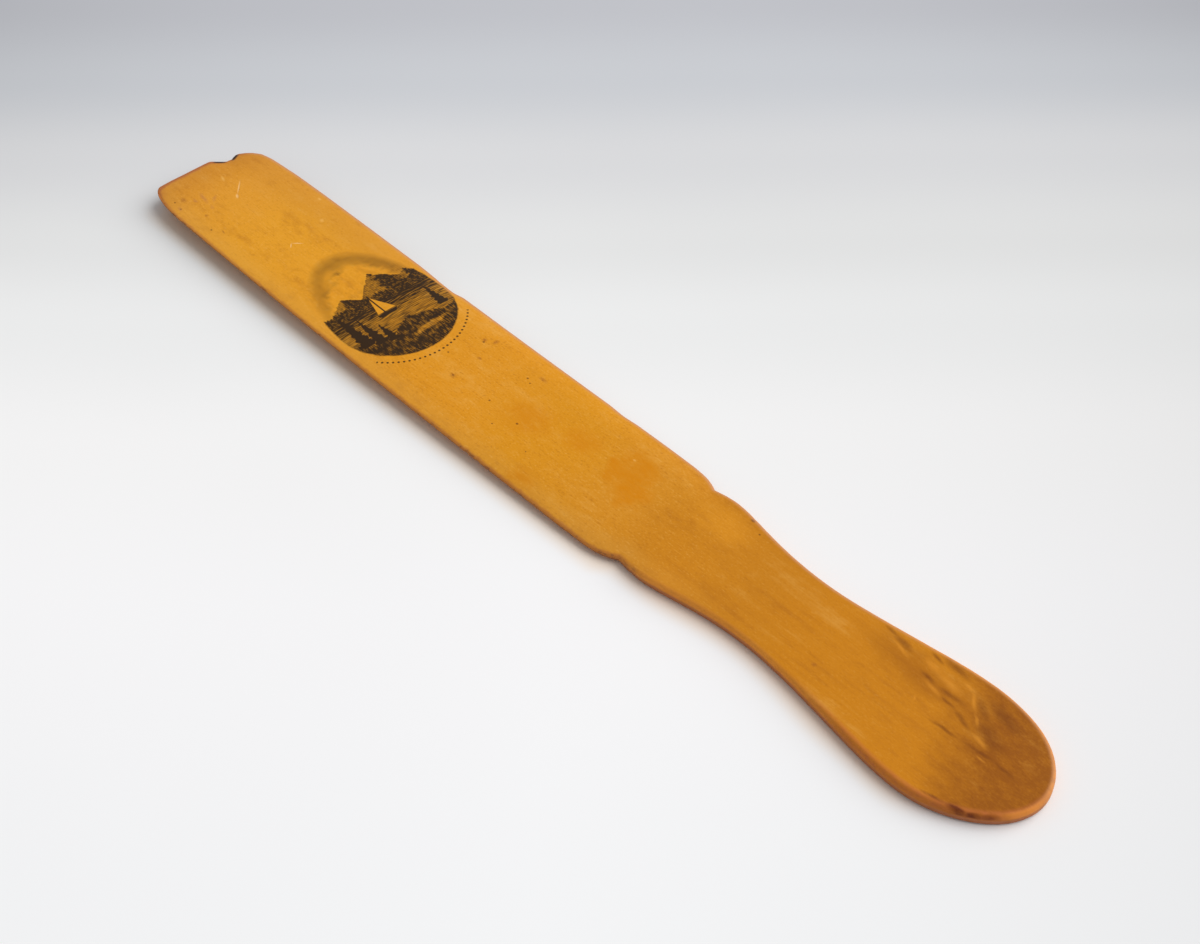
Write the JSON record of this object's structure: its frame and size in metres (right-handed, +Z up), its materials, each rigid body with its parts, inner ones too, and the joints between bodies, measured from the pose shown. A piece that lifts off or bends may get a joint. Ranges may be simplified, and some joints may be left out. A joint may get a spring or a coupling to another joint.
{
  "type": "page turner",
  "caption": "Flat wooden page turner: a long thin parallel blade with clipped tip corners, a notched shoulder, a waisted neck and a rounded paddle handle.",
  "frame": {"origin": "centre of the slat's bounding box, on the surface that it lies on", "axes": "+X along the slat from the blade's tip to the end of the handle, +Y across it, +Z up, out of the printed face"},
  "size_m": [0.318, 0.04, 0.0043],
  "materials": {
    "varnished_wood": "aged amber varnish, satin"
  },
  "bodies": {
    "root": {"page_turner_body": "varnished_wood"}
  },
  "joints": []
}
